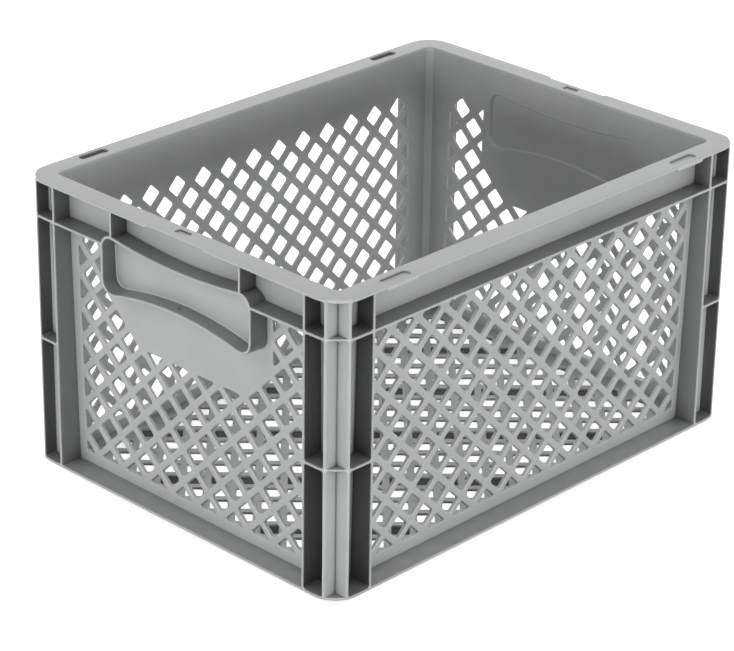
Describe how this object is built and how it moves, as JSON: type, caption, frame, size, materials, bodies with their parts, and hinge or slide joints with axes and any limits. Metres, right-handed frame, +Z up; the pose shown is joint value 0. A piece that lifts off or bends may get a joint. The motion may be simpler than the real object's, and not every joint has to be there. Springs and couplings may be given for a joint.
{
  "type": "stacking crate",
  "caption": "Open-top stacking crate with diamond-lattice walls and floor, ribbed corner posts, a flat rim and pocket grips in both short ends.",
  "frame": {"origin": "centre of the foot's footprint, on the surface that the crate stands on", "axes": "+X along the length towards one grip end, +Y along the width, +Z up"},
  "size_m": [0.4, 0.3, 0.22],
  "materials": {
    "moulding": "satin as moulded"
  },
  "bodies": {
    "root": {"floor": "moulding", "foot_front": "moulding", "foot_rear": "moulding", "foot_left": "moulding", "foot_right": "moulding", "ledge_front": "moulding", "ledge_rear": "moulding", "ledge_left": "moulding", "ledge_right": "moulding", "wall_front": "moulding", "wall_rear": "moulding", "wall_left": "moulding", "wall_right": "moulding", "post_front_left": "moulding", "post_front_right": "moulding", "post_rear_left": "moulding", "post_rear_right": "moulding", "band_front": "moulding", "band_rear": "moulding", "band_left_front": "moulding", "band_left_rear": "moulding", "band_right_front": "moulding", "band_right_rear": "moulding", "strut_left_front": "moulding", "strut_left_rear": "moulding", "strut_right_front": "moulding", "strut_right_rear": "moulding", "grip_frame_left": "moulding", "grip_frame_right": "moulding", "rim_front": "moulding", "rim_rear": "moulding", "rim_left": "moulding", "rim_right": "moulding"}
  },
  "joints": []
}
